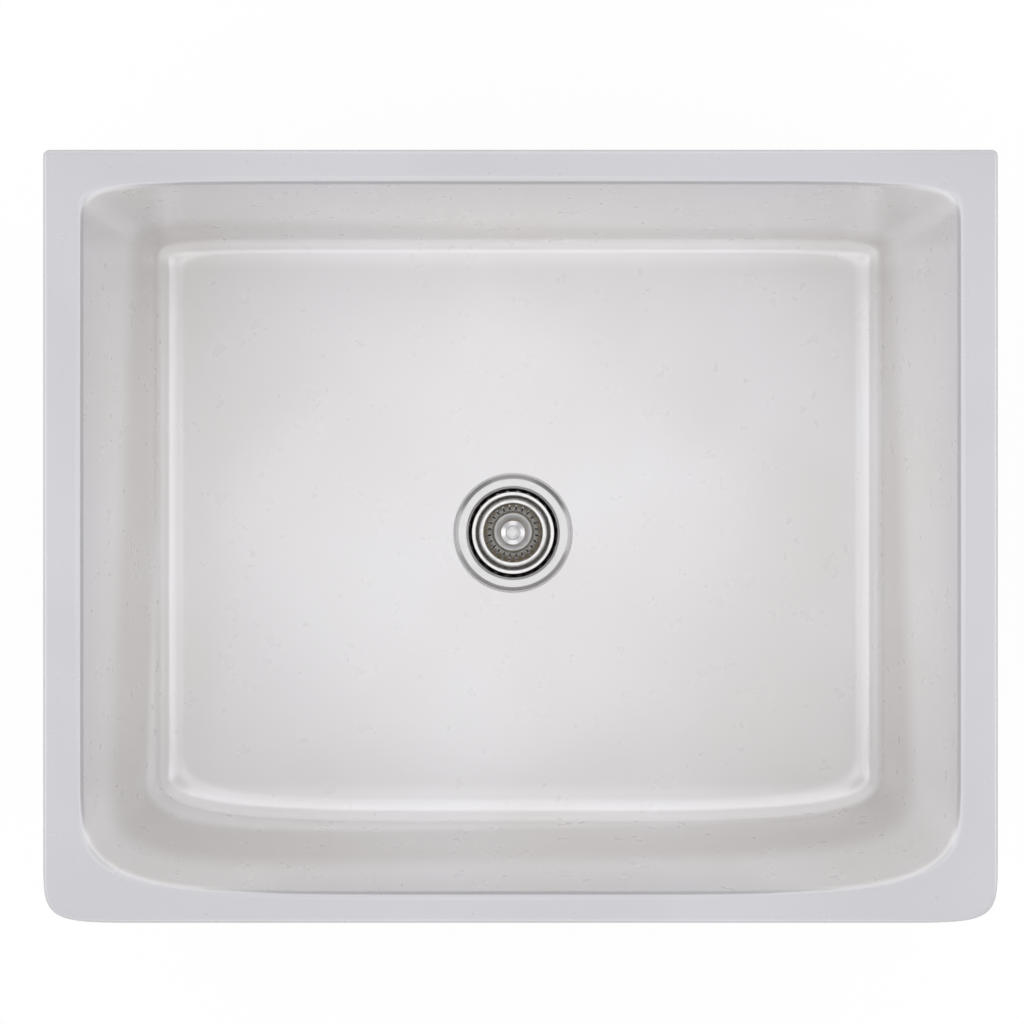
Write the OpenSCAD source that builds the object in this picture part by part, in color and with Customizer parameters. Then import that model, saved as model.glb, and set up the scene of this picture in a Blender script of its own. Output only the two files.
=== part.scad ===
// Apron-front kitchen sink with a basket strainer waste.
// Millimetres. X runs to the right, Y to the wall behind, Z up from the plane the sink stands on.
// The origin is the middle of the basin's underside.

/* [Basin outside] */
// Width over both sides
basin_w = 762; // [600:1:900]
// Depth from the apron's face to the back
basin_d = 617; // [500:1:700]
// Height from the underside to the rim
basin_h = 254; // [200:1:300]
// Rounding of the outer edges, top and bottom
outer_edge_r = 4; // [2:0.5:4.5]
// How far the front corners' curve runs along the front
front_corner_x = 120; // [60:1:160]
// How far the front corners' curve runs along the sides
front_corner_y = 78; // [40:1:120]
// Squareness of the front corners, higher is squarer
front_corner_p = 7.4; // [3:0.1:9]
// Radius of the upright corners at the back
rear_corner_r = 5; // [5:0.5:20]

/* [Rim] */
// Width of the side rims, outer face to bowl wall
side_rim_w = 32; // [24:0.5:60]
// Width of the front rim
front_rim_w = 25; // [20:0.5:50]
// Width of the rear rim
rear_rim_w = 27.5; // [22:0.5:80]
// Rounding from the rim's top into the bowl
mouth_round = 6; // [3:0.5:10]

/* [Bowl] */
// How far a side wall leans in from mouth to floor
side_lean = 7; // [2:0.5:14]
// How far the front wall leans in
front_lean = 7; // [2:0.5:14]
// How far the rear wall leans in
rear_lean = 5.5; // [2:0.5:14]
// Floor height at the outlet, over the underside
floor_z = 24; // [20:0.5:36]
// Fall of the floor from its edge to the outlet
floor_fall = 5; // [2:0.5:12]
// Height of the rounding between walls and floor
fillet_h = 20; // [8:0.5:30]
// Width of that rounding at the sides
fillet_side = 20; // [8:0.5:30]
// Width of that rounding at the front
fillet_front = 18; // [8:0.5:30]
// Width of that rounding at the rear
fillet_rear = 10; // [6:0.5:24]

/* [Bowl corners] */
// How far the mouth's front corners run down the sides
mouth_front_y = 113; // [60:1:150]
// Squareness of the mouth's front corners
mouth_front_p = 5.25; // [3:0.05:7]
// How far the mouth's rear corners run down the sides
mouth_rear_y = 58; // [40:1:100]
// Squareness of the mouth's rear corners
mouth_rear_p = 8.2; // [5:0.1:10]
// How far the floor's front corners run down the sides
floor_front_y = 60; // [40:1:100]
// Squareness of the floor's front corners
floor_front_p = 4.1; // [3:0.1:6]
// How far the floor's rear corners run down the sides
floor_rear_y = 58; // [40:1:100]
// Squareness of the floor's rear corners
floor_rear_p = 13; // [6:0.5:16]

/* [Underside] */
// Width of the flat foot round the underside
foot_w = 45; // [30:1:80]
// Depth of the hollow inside the foot
foot_hollow = 3; // [1:0.5:6]

/* [Outlet] */
// Outlet axis, left or right of the middle
outlet_x = -5.8; // [-20:0.1:20]
// Outlet axis, behind or in front of the middle
outlet_y = -3.3; // [-40:0.1:40]
// Gap between the strainer's thread and the hole
hole_gap = 0.8; // [0.5:0.1:3]
// Depth of the seat the flange lies in
seat_depth = 2.2; // [1.5:0.1:2.6]
// Gap round the flange in its seat
seat_gap = 1.4; // [0.8:0.1:4]

/* [Strainer body] */
// Inner radius of the strainer's throat
throat_r = 42.8; // [40:0.1:45]
// Width of the flange, from throat to edge
flange_w = 13.2; // [12:0.1:16]
// Thickness of the pressed sheet
body_sheet = 1; // [0.6:0.1:1.4]
// Depth from the flange's top to the land that the seal shuts on
body_depth = 49.6; // [46:0.1:60]
// Inner radius of the outlet neck
neck_r = 20.5; // [18.6:0.1:22]
// Wall of the outlet neck, thread included
neck_wall = 3.2; // [2.6:0.1:4]
// Length of the neck under the land
neck_len = 25; // [24:0.5:36]
// Height of the flange seal
flange_seal_h = 1.8; // [1:0.1:2.4]

/* [Nuts under the sink] */
// Thickness of the rubber gasket
gasket_h = 3.5; // [2:0.1:6]
// Thickness of the slip ring
slip_h = 1; // [0.6:0.1:2]
// Height of the locknut
locknut_h = 12; // [9:0.5:14]
// Reach of the gasket, ring and nut beyond the thread
clamp_w = 12.8; // [9:0.1:16]
// Reach of the locknut's wings past its flange
wing_out = 4; // [2:0.5:8]
// Width of a wing
wing_w = 10; // [6:0.5:16]
// Height of the coupling nut
coupling_h = 18; // [15:0.5:20]

/* [Tailpiece] */
// Outer radius of the tailpiece
tail_r = 19.05; // [17:0.05:19.2]
// Wall of the tailpiece
tail_wall = 1; // [0.7:0.1:1.5]
// Length of the tailpiece
tail_len = 100; // [60:1:150]
// Thickness of the washer over the tailpiece
tail_washer_h = 2; // [1:0.1:3]

/* [Basket] */
// Gap between the basket's lip and the throat
basket_gap = 2.6; // [1.5:0.1:3.5]
// Depth inside the basket
basket_depth = 42; // [38:0.5:44]
// Thickness of the basket's sheet
basket_sheet = 0.8; // [0.5:0.1:1]
// Flat width of the basket's rolled lip
lip_w = 3.8; // [3:0.1:4.5]
// Height of the ledge over the basket's bottom
ledge_h = 34.8; // [32:0.1:36]
// Width of the ledge
ledge_w = 3.4; // [2.5:0.1:4.5]
// Radius of the basket's flat bottom
bottom_r = 19.5; // [17:0.1:21]
// Number of slots in the basket's wall
slot_count = 24; // [12:1:28]
// Width of a slot
slot_w = 1.9; // [1:0.1:2.4]
// Height of the slots' lower end over the basket's bottom
slot_low = 4.5; // [3:0.5:10]
// Height of the slots
slot_h = 26.5; // [15:0.5:27]
// Thickness of the rubber seal disc
seal_h = 3.2; // [2:0.1:5]
// Reach of the seal disc over the land
seal_over = 5; // [3:0.1:5.5]

/* [Knob] */
// Radius of the knob
knob_r = 12; // [10:0.1:15]
// Height of the knob's rim over the basket's bottom
knob_up = 30; // [22:0.5:36]
// Thickness of the knob at its rim
knob_rim = 2.4; // [1.8:0.1:4]
// Radius of the cap in the knob
cap_r = 6; // [5:0.1:7.5]
// Radius of the post
post_r = 4; // [3.6:0.1:4.4]
// Radius of the post's upper part
stem_r = 5.4; // [5:0.1:6]

/* [Hidden] */
// Clearances between pieces
turn_gap = 0.05;
thread_gap = 0.08;
slide_gap = 0.1;
loose_gap = 0.3;
past = 1;
smooth = 96;

// Outlet heights and radii
body_r = throat_r + body_sheet;
thread_r = body_r + 0.4;
hole_r = thread_r + hole_gap;
flange_r = throat_r + flange_w;
seat_r = flange_r + seat_gap;
seat_z = floor_z - seat_depth;
flat_r = seat_r + 4.6;
flange_low = seat_z + flange_seal_h;
flange_top = flange_low + body_sheet;
bevel_w = 3.8;
flange_edge = seat_z + 0.5;
shoulder_w = 2.8;
shoulder_h = 3.2;
land_z = flange_top - body_depth;
land_r = neck_r + 6.5;
neck_out = neck_r + neck_wall;
neck_end = land_z - neck_len;
neck_step = 1.3;
step_z = land_z - 15;
cone_h = 5.5;
thread_top = seat_z - 2.5;

// Clamping rings under the sink
clamp_r = thread_r + clamp_w;
ring_in = thread_r + 0.5;
gasket_z = foot_hollow - gasket_h;
slip_z = gasket_z - slip_h;
locknut_z = slip_z - locknut_h;
thread_low = locknut_z - 2;
nut_skirt_h = 3;
nut_core_w = 6;

// Neck, nut and tailpiece
tail_top = neck_end - tail_washer_h;
tail_flange_h = 2;
tail_flange_r = neck_out - 1.1;
tail_end = tail_top - tail_len;
tail_swell = 0.3;
tail_swell_h = 3;
nut_lip_h = 4;
coupling_low = tail_top - tail_flange_h - nut_lip_h;
coupling_flat = neck_out + 3.6;

// Basket
lip_r = throat_r - basket_gap;
bottom_z = land_z + seal_h + basket_sheet;
lip_z = bottom_z + basket_depth;
ledge_z = bottom_z + ledge_h;
wall_top_r = lip_r - lip_w - 4.4 - ledge_w;
stem_hole = 6.6;
bush_r = stem_hole - slide_gap;
bush_flange_r = 9;
bush_flange_h = 1.6;
bush_top = bottom_z + 7;
bush_boss_r = 7.4;
plate_r = neck_r - 3.5;
plate_h = 1;
nut_h = 4;
nut_r = 9.4;
seal_low = land_z;
plate_low = seal_low - plate_h;
nut_low = plate_low - nut_h;
bush_end = nut_low - 1;

// Spider, post and knob
hub_r = 8.2;
hub_bore = 5.6;
hub_over = 2;
hub_under = 6;
arm_h = 4;
arm_w = 3.2;
ring_w = 2;
grip_wire = 1.05;
grip_r = hub_bore - turn_gap - grip_wire;
grip_z = step_z + 0.5;
post_end = step_z - 10;
clip_h = 1;
clip_in = post_r - 0.6;
clip_out = post_r + 2.6;
clip_mouth = 3.4;
clip_z = bush_end - clip_h;
knob_top = bottom_z + knob_up + knob_rim;
knob_dome = 1.1;
cap_sink = 0.9;
cap_proud = 0.5;
post_top = bottom_z + knob_up - 0.6;

// Point counts of the basin's rings
n_side = 2;
n_turn = 12;
n_front = 3;
n_mid = 5;
turn_start = 1.5;
reach = 0.97;

// An outline holds half width, front y, rear y, then run along x, run along y and squareness, front then rear
outer_line = [basin_w / 2, -basin_d / 2, basin_d / 2, front_corner_x, front_corner_y, front_corner_p,
              rear_corner_r, rear_corner_r, 2];
foot_line = [basin_w / 2 - foot_w, -basin_d / 2 + foot_w, basin_d / 2 - foot_w, front_corner_x,
             front_corner_y, 4, 30, 30, 2];
mouth_half = basin_w / 2 - side_rim_w;
mouth_front = -basin_d / 2 + front_rim_w;
mouth_rear = basin_d / 2 - rear_rim_w;
mouth_line = [mouth_half, mouth_front, mouth_rear, mouth_half * reach, mouth_front_y, mouth_front_p,
              mouth_half * reach, mouth_rear_y, mouth_rear_p];
wall_half = mouth_half - side_lean;
wall_line = [wall_half, mouth_front + front_lean, mouth_rear - rear_lean, wall_half * reach, floor_front_y,
             floor_front_p, wall_half * reach, floor_rear_y, floor_rear_p];
floor_half = wall_half - fillet_side;
floor_line = [floor_half, mouth_front + front_lean + fillet_front, mouth_rear - rear_lean - fillet_rear,
              floor_half * reach, floor_front_y, floor_front_p, floor_half * reach, floor_rear_y,
              floor_rear_p * 0.8];
floor_edge_z = floor_z + floor_fall;
wall_low_z = floor_edge_z + fillet_h;

// The outline moved outwards by e
function grown(o, e) = [o[0] + e, o[1] - e, o[2] + e, max(o[3] + e, 0.5), max(o[4] + e, 0.5), o[5],
                        max(o[6] + e, 0.5), max(o[7] + e, 0.5), o[8]];

// A point on the unit corner curve, from the slope ratio k
function unit_point(k, p) = let (u = pow(1 + pow(k, p), -1 / p)) [u, k * u];
function turn_ratio(f, a, b, p) = pow(tan(f) * b / a, 1 / (p - 1));

// One corner as distances from the side line and the end line
function corner_points(a, b, p) =
    let (first = unit_point(turn_ratio(turn_start, a, b, p), p))
    let (last = unit_point(turn_ratio(90 - turn_start, a, b, p), p))
    let (side = [for (j = [0 : n_side - 1]) let (v = first[1] * j / n_side) [pow(1 - pow(v, p), 1 / p), v]])
    let (turn = [for (i = [0 : n_turn])
                 unit_point(turn_ratio(turn_start + (90 - 2 * turn_start) * i / n_turn, a, b, p), p)])
    let (end = [for (j = [1 : n_front]) let (u = last[0] * (1 - j / n_front)) [u, pow(1 - pow(u, p), 1 / p)]])
    [for (q = concat(side, turn, end)) [a * (1 - q[0]), b * (1 - q[1])]];

function reversed(list) = [for (i = [len(list) - 1 : -1 : 0]) list[i]];
function between(a, b, n) = [for (i = [1 : n]) a + (b - a) * i / (n + 1)];

// The whole outline, anticlockwise from the left side
function outline(o) =
    let (f = corner_points(o[3], o[4], o[5]))
    let (r = corner_points(o[6], o[7], o[8]))
    let (front_left = [for (q = f) [q[0] - o[0], o[1] + q[1]]])
    let (front_right = reversed([for (q = f) [o[0] - q[0], o[1] + q[1]]]))
    let (rear_right = [for (q = r) [o[0] - q[0], o[2] - q[1]]])
    let (rear_left = reversed([for (q = r) [q[0] - o[0], o[2] - q[1]]]))
    let (right_mid = between([o[0], o[1] + o[4]], [o[0], o[2] - o[7]], n_mid))
    let (left_mid = between([-o[0], o[2] - o[7]], [-o[0], o[1] + o[4]], n_mid))
    concat(front_left, front_right, right_mid, rear_right, rear_left, left_mid);

function raised(points, z) = [for (q = points) [q[0], q[1], z]];
function mixed(a, b, t) = [for (i = [0 : len(a) - 1]) a[i] + (b[i] - a[i]) * t];
function eased(t) = t * t * (3 - 2 * t);

// Points round the outlet, each on the line from the outlet to its floor point
function round_outlet(points, r) =
    [for (q = points)
     let (away = [q[0] - outlet_x, q[1] - outlet_y]) [outlet_x, outlet_y] + away * r / norm(away)];

wall_points = outline(wall_line);
floor_points = outline(floor_line);
outlet_points = round_outlet(floor_points, flat_r);

basin_rings = concat(
    [raised(outline(grown(foot_line, -foot_hollow)), foot_hollow)],
    [raised(outline(foot_line), 0)],
    [for (t = [0 : 45 : 90])
     raised(outline(grown(outer_line, outer_edge_r * (sin(t) - 1))), outer_edge_r * (1 - cos(t)))],
    [for (t = [0 : 30 : 90])
     raised(outline(grown(outer_line, outer_edge_r * (cos(t) - 1))), basin_h - outer_edge_r * (1 - sin(t)))],
    [for (t = [0 : 22.5 : 90])
     raised(outline(grown(mouth_line, mouth_round * (1 - sin(t)))), basin_h - mouth_round * (1 - cos(t)))],
    [raised(mixed(outline(mouth_line), wall_points, 0.5), (basin_h - mouth_round + wall_low_z) / 2)],
    [for (t = [0 : 15 : 90])
     raised(mixed(wall_points, floor_points, 1 - cos(t)), wall_low_z - fillet_h * sin(t))],
    [for (s = [1 : 6])
     raised(mixed(floor_points, outlet_points, s / 6), floor_edge_z - floor_fall * eased(s / 6))]
);

function flat_list(lists) = [for (l = lists) for (q = l) q];

// Skin over rings of equal point counts, closed at each end by a fan round a middle point
module ring_skin(rings, low_middle, high_middle) {
    n = len(rings[0]);
    m = len(rings);
    sides = [for (j = [0 : m - 2]) for (i = [0 : n - 1])
             let (k = (i + 1) % n)
             for (f = [[j * n + i, (j + 1) * n + i, (j + 1) * n + k], [j * n + i, (j + 1) * n + k, j * n + k]]) f];
    low_end = [for (i = [0 : n - 1]) [m * n, i, (i + 1) % n]];
    high_end = [for (i = [0 : n - 1]) [m * n + 1, (m - 1) * n + (i + 1) % n, (m - 1) * n + i]];
    polyhedron(points = concat(flat_list(rings), [low_middle, high_middle]),
               faces = concat(low_end, sides, high_end));
}

// Moves its children to the outlet's axis
module at_outlet() {
    translate([outlet_x, outlet_y, 0]) children();
}

module turned(points) {
    rotate_extrude($fn = smooth) polygon(points);
}

// A flat ring between two radii and two heights
module flat_ring(r_in, r_out, z_low, z_high) {
    turned([[r_in, z_low], [r_out, z_low], [r_out, z_high], [r_in, z_high]]);
}

// The far side of a sheet whose near side is the path, to the right of its direction
function unit(v) = v / norm(v);
function right_of(v) = [v[1], -v[0]];
function side_step(path, i) =
    let (a = right_of(unit(path[max(i, 1)] - path[max(i, 1) - 1])))
    let (b = right_of(unit(path[min(i, len(path) - 2) + 1] - path[min(i, len(path) - 2)])))
    (a + b) / (1 + a * b);
function sheet_points(path, t) =
    concat(path, reversed([for (i = [0 : len(path) - 1]) path[i] + side_step(path, i) * t]));

module basin() {
    color("white")
    difference() {
        ring_skin(basin_rings, [0, 0, foot_hollow], [outlet_x, outlet_y, floor_z]);
        at_outlet() translate([0, 0, -past]) cylinder(r = hole_r, h = floor_z + 2 * past, $fn = smooth);
        at_outlet() translate([0, 0, seat_z]) cylinder(r = seat_r, h = seat_depth + past, $fn = smooth);
    }
}

module flange_seal() {
    color("dimgray") at_outlet() flat_ring(hole_r + 1.4, flange_r - bevel_w - 0.4, seat_z, flange_low);
}

module strainer_body() {
    color("silver")
    at_outlet()
    turned([
        // Top of the flange, then down the inside
        [flange_r, flange_edge + 0.7],
        [flange_r - bevel_w, flange_top],
        [throat_r + shoulder_w, flange_top],
        [throat_r + shoulder_w * 0.66, flange_top - shoulder_h * 0.15],
        [throat_r + shoulder_w * 0.2, flange_top - shoulder_h * 0.6],
        [throat_r, flange_top - shoulder_h],
        [throat_r, land_z + cone_h + 2],
        [throat_r - 1.6, land_z + cone_h],
        [land_r, land_z],
        [neck_r + 1, land_z],
        [neck_r, land_z - 1],
        [neck_r, step_z],
        [neck_r - neck_step, step_z],
        [neck_r - neck_step, neck_end],
        // Up the outside
        [neck_out, neck_end],
        [neck_out, land_z - 3],
        [land_r, land_z - body_sheet],
        [throat_r - 1.2, land_z + cone_h - body_sheet],
        [body_r, land_z + cone_h + 1.6],
        [body_r, thread_low],
        [thread_r, thread_low + 0.4],
        [thread_r, thread_top],
        [body_r, thread_top + 0.4],
        [body_r, flange_low - shoulder_h],
        [throat_r + shoulder_w * 0.2 + body_sheet, flange_low - shoulder_h * 0.6],
        [throat_r + shoulder_w * 0.66 + body_sheet * 0.6, flange_low - shoulder_h * 0.15],
        [throat_r + shoulder_w + 0.5, flange_low],
        [flange_r - bevel_w, flange_low],
        [flange_r - body_sheet, flange_edge],
        [flange_r, flange_edge]
    ]);
}

module strainer_spider() {
    color("silver")
    at_outlet()
    difference() {
        union() {
            flat_ring(neck_r - loose_gap - ring_w, neck_r - loose_gap, step_z, step_z + arm_h);
            flat_ring(hub_bore, hub_r, step_z - hub_under, step_z + arm_h + hub_over);
            for (i = [0 : 2])
                rotate([0, 0, 90 + 120 * i])
                translate([hub_r - 1, -arm_w / 2, step_z])
                cube([neck_r - loose_gap - ring_w - hub_r + 2, arm_w, arm_h]);
        }
        translate([0, 0, step_z - hub_under - past])
        cylinder(r = hub_bore, h = hub_under + arm_h + hub_over + 2 * past, $fn = smooth);
    }
}

module underside_gasket() {
    color("black") at_outlet() flat_ring(ring_in, clamp_r, gasket_z, foot_hollow);
}

module friction_ring() {
    color("tan") at_outlet() flat_ring(ring_in, clamp_r, slip_z, gasket_z);
}

module locknut() {
    core_r = thread_r + nut_core_w;
    color("gray")
    at_outlet()
    difference() {
        union() {
            turned([[thread_r - past, locknut_z], [core_r, locknut_z], [core_r, slip_z - nut_skirt_h],
                    [clamp_r, slip_z - nut_skirt_h + 0.8], [clamp_r, slip_z], [thread_r - past, slip_z]]);
            for (i = [0 : 3])
                rotate([0, 0, 45 + 90 * i])
                translate([core_r - 1, -wing_w / 2, locknut_z + 1.5])
                cube([clamp_r + wing_out - core_r + 1, wing_w, locknut_h - 2.5]);
        }
        translate([0, 0, locknut_z - past])
        cylinder(r = thread_r + thread_gap, h = locknut_h + 2 * past, $fn = smooth);
    }
}

module coupling_nut() {
    nut_round = coupling_flat / cos(22.5);
    color("silver")
    at_outlet()
    difference() {
        union() {
            rotate([0, 0, 22.5])
            translate([0, 0, coupling_low + 2])
            cylinder(r = nut_round, h = coupling_h - 2, $fn = 8);
            translate([0, 0, coupling_low]) cylinder(r1 = tail_r + 5, r2 = tail_r + 7, h = 2.5, $fn = smooth);
        }
        translate([0, 0, coupling_low - past])
        cylinder(r = tail_r + tail_swell + loose_gap, h = nut_lip_h + 2 * past, $fn = smooth);
        translate([0, 0, coupling_low + nut_lip_h])
        cylinder(r = neck_out + thread_gap, h = coupling_h, $fn = smooth);
    }
}

module tailpiece_washer() {
    color("white") at_outlet() flat_ring(tail_r + 0.25, tail_flange_r, tail_top, neck_end);
}

module tailpiece() {
    inner = tail_r - tail_wall;
    swell_z = coupling_low - tail_swell_h;
    color("silver")
    at_outlet()
    turned([[inner, tail_end], [tail_r, tail_end], [tail_r, swell_z], [tail_r + tail_swell, swell_z + 1],
            [tail_r + tail_swell, tail_top - tail_flange_h], [tail_flange_r, tail_top - tail_flange_h],
            [tail_flange_r, tail_top], [inner, tail_top]]);
}

module basket_cup() {
    edge_r = ledge_w + wall_top_r;
    path = [
        [lip_r, lip_z - 2.4],
        [lip_r, lip_z - 0.7],
        [lip_r - 0.7, lip_z],
        [lip_r - lip_w + 0.6, lip_z],
        [lip_r - lip_w, lip_z - 0.5],
        [edge_r + 0.7, ledge_z + 0.7],
        [edge_r - 0.3, ledge_z],
        [wall_top_r + 0.7, ledge_z],
        [wall_top_r, ledge_z - 0.9],
        [bottom_r + 0.9, bottom_z + 1.4],
        [bottom_r - 0.6, bottom_z],
        [stem_hole, bottom_z]
    ];
    half = slot_w / 2;
    color("silver")
    at_outlet()
    difference() {
        turned(sheet_points(reversed(path), basket_sheet));
        for (i = [0 : slot_count - 1])
            rotate([0, 0, (i + 0.5) * 360 / slot_count])
            translate([bottom_r - 2, 0, bottom_z + slot_low])
            rotate([90, 0, 90])
            linear_extrude(height = wall_top_r - bottom_r + 5)
            polygon([[-half, half], [-half / 2, 0], [half / 2, 0], [half, half],
                     [half, slot_h - half], [half / 2, slot_h], [-half / 2, slot_h], [-half, slot_h - half]]);
    }
}

module basket_bush() {
    bore = post_r + slide_gap;
    color("goldenrod")
    at_outlet()
    turned([[bore, bush_end], [bush_r, bush_end], [bush_r, bottom_z], [bush_flange_r, bottom_z],
            [bush_flange_r, bottom_z + bush_flange_h], [bush_boss_r, bottom_z + bush_flange_h],
            [bush_boss_r, bush_top - 0.8], [bush_boss_r - 0.8, bush_top], [bore, bush_top]]);
}

module basket_seal() {
    edge_r = neck_r + seal_over;
    color("black")
    at_outlet()
    turned([[stem_hole, seal_low], [edge_r - 0.6, seal_low], [edge_r, seal_low + 0.6],
            [edge_r, seal_low + seal_h - 0.6], [edge_r - 0.6, seal_low + seal_h],
            [stem_hole, seal_low + seal_h]]);
}

module seal_retainer() {
    color("silver") at_outlet() flat_ring(stem_hole, plate_r, plate_low, seal_low);
}

module bush_nut() {
    color("goldenrod")
    at_outlet()
    difference() {
        translate([0, 0, nut_low]) cylinder(r = nut_r, h = nut_h, $fn = 6);
        translate([0, 0, nut_low - past])
        cylinder(r = bush_r + thread_gap, h = nut_h + 2 * past, $fn = smooth);
    }
}

module basket_post() {
    grip_half = grip_wire + 0.1;
    grip_in = grip_r - grip_wire - 0.05;
    color("silver")
    at_outlet()
    turned([[0, post_end], [post_r - 0.6, post_end], [post_r, post_end + 0.6],
            [post_r, grip_z - grip_half], [grip_in, grip_z - grip_half],
            [grip_in, grip_z + grip_half], [post_r, grip_z + grip_half],
            [post_r, clip_z], [clip_in, clip_z], [clip_in, clip_z + clip_h], [post_r, clip_z + clip_h],
            [post_r, bush_top], [stem_r, bush_top], [stem_r, post_top], [0, post_top]]);
}

module post_clip() {
    color("dimgray")
    at_outlet()
    difference() {
        flat_ring(clip_in + turn_gap, clip_out, clip_z, clip_z + clip_h);
        translate([0, -clip_mouth / 2, clip_z - past])
        cube([clip_out + past, clip_mouth, clip_h + 2 * past]);
    }
}

module post_grip_ring() {
    color("black")
    at_outlet()
    translate([0, 0, grip_z])
    rotate_extrude($fn = smooth)
    translate([grip_r, 0]) circle(r = grip_wire, $fn = 32);
}

module knob() {
    low = knob_top - knob_rim;
    sleeve_r = stem_r + 1.6;
    sleeve_low = post_top - 7;
    color("silver")
    at_outlet()
    turned([[stem_r + slide_gap, sleeve_low], [sleeve_r, sleeve_low], [sleeve_r, low - 0.6],
            [knob_r - 1.6, low], [knob_r - 0.4, low + 0.5], [knob_r, low + 1.1],
            [knob_r, knob_top - 0.7], [knob_r - 0.6, knob_top],
            [cap_r + 0.15, knob_top + knob_dome], [cap_r + 0.15, knob_top + knob_dome - cap_sink],
            [0, knob_top + knob_dome - cap_sink], [0, post_top], [stem_r + slide_gap, post_top]]);
}

module knob_cap() {
    low = knob_top + knob_dome - cap_sink;
    high = low + cap_sink + cap_proud;
    color("silver")
    at_outlet()
    turned([[0, low], [cap_r, low], [cap_r, high - 0.5], [cap_r - 0.5, high - 0.1], [cap_r / 2, high + 0.2],
            [0, high + 0.25]]);
}

basin();
flange_seal();
strainer_body();
strainer_spider();
underside_gasket();
friction_ring();
locknut();
tailpiece_washer();
tailpiece();
coupling_nut();
basket_cup();
basket_bush();
basket_seal();
seal_retainer();
bush_nut();
basket_post();
post_clip();
post_grip_ring();
knob();
knob_cap();
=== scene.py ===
import math

import bmesh
import bpy
import numpy as np
from mathutils import Matrix, Vector


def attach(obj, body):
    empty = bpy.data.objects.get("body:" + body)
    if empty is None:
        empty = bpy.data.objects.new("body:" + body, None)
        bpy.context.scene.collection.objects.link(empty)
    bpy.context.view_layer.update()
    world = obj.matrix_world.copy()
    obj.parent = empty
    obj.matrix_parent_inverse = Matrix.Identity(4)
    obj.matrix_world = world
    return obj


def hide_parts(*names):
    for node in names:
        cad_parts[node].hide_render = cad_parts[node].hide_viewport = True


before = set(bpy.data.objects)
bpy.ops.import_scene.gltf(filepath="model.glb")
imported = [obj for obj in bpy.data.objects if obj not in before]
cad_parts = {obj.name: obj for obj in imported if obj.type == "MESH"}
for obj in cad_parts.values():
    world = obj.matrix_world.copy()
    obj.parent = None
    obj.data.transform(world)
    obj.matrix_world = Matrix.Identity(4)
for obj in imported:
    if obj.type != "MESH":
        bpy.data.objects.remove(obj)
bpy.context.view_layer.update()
scene = bpy.context.scene
print("frame loaded,", len(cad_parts), "nodes")

# Camera
cameraSet = {
    "place": (-0.0068, 0.0306, 1.3179),   # straight over the sink, a little behind its middle
    "lens": 47.0,
    "shiftY": -0.0137,                    # the photograph was cropped a little off centre
}
cameraData = bpy.data.cameras.new("overheadCamera")
cameraData.lens = cameraSet["lens"]
cameraData.sensor_width = 36.0
cameraData.shift_y = cameraSet["shiftY"]
cameraData.clip_end = 60.0
camera = bpy.data.objects.new("overheadCamera", cameraData)
camera.location = cameraSet["place"]
scene.collection.objects.link(camera)
scene.camera = camera
scene.view_settings.view_transform = "Standard"
print("camera placed")


# Shader sums
class Wire:                               # a socket that can stand in a sum
    def __init__(self, graph, socket):
        self.graph = graph
        self.socket = socket

    def __add__(self, other):
        return self.graph.sum("ADD", self, other)

    def __radd__(self, other):
        return self.graph.sum("ADD", other, self)

    def __sub__(self, other):
        return self.graph.sum("SUBTRACT", self, other)

    def __rsub__(self, other):
        return self.graph.sum("SUBTRACT", other, self)

    def __mul__(self, other):
        return self.graph.sum("MULTIPLY", self, other)

    def __rmul__(self, other):
        return self.graph.sum("MULTIPLY", other, self)

    def __truediv__(self, other):
        return self.graph.sum("DIVIDE", self, other)


class Graph:                              # builds the nodes of one material or world
    def __init__(self, tree):
        self.tree = tree
        tree.nodes.clear()

    def node(self, kind, settings=None, inputs=None, out=0):
        made = self.tree.nodes.new(kind)
        for key, value in (settings or {}).items():
            if key == "stops":
                ramp = made.color_ramp
                while len(ramp.elements) < len(value):
                    ramp.elements.new(0.5)
                for element, (place, colour) in zip(ramp.elements, value):
                    element.position = place
                    element.color = (*colour, 1.0)
            else:
                setattr(made, key, value)
        for key, value in (inputs or {}).items():
            socket = made.inputs[key]
            if isinstance(value, Wire):
                self.tree.links.new(value.socket, socket)
            else:
                socket.default_value = value
        return Wire(self, made.outputs[out]) if len(made.outputs) else made

    def sum(self, operation, a, b=0.0):
        return self.node("ShaderNodeMath", {"operation": operation}, {0: a, 1: b})

    def fade(self, value, start, end):    # 0 at the start value, 1 at the end value, smooth between
        return self.node("ShaderNodeMapRange", {"interpolation_type": "SMOOTHSTEP"},
                         {0: value, 1: start, 2: end})

    def mix(self, factor, a, b, blend="MIX"):               # colours
        return self.node("ShaderNodeMix", {"data_type": "RGBA", "blend_type": blend},
                         {0: factor, 6: a, 7: b}, out=2)

    def noise(self, place, scale, detail=3.0, rough=0.5):
        return self.node("ShaderNodeTexNoise", {}, {"Vector": place, "Scale": scale, "Detail": detail,
                                                    "Roughness": rough})

    def place(self):
        return self.node("ShaderNodeTexCoord", {}, {}, out=3)

    def parts(self, place):
        split = self.node("ShaderNodeSeparateXYZ", {}, {0: place})
        return [Wire(self, split.socket.node.outputs[i]) for i in range(3)]


def newMaterial(name):
    material = bpy.data.materials.new(name)
    material.use_nodes = True
    return material, Graph(material.node_tree)


def finishMaterial(graph, sockets):
    shader = graph.node("ShaderNodeBsdfPrincipled", {}, sockets)
    graph.node("ShaderNodeOutputMaterial", {}, {0: shader})


# Glaze
outlet = (-5.8, -3.3)                     # the drain's axis, mm

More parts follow.
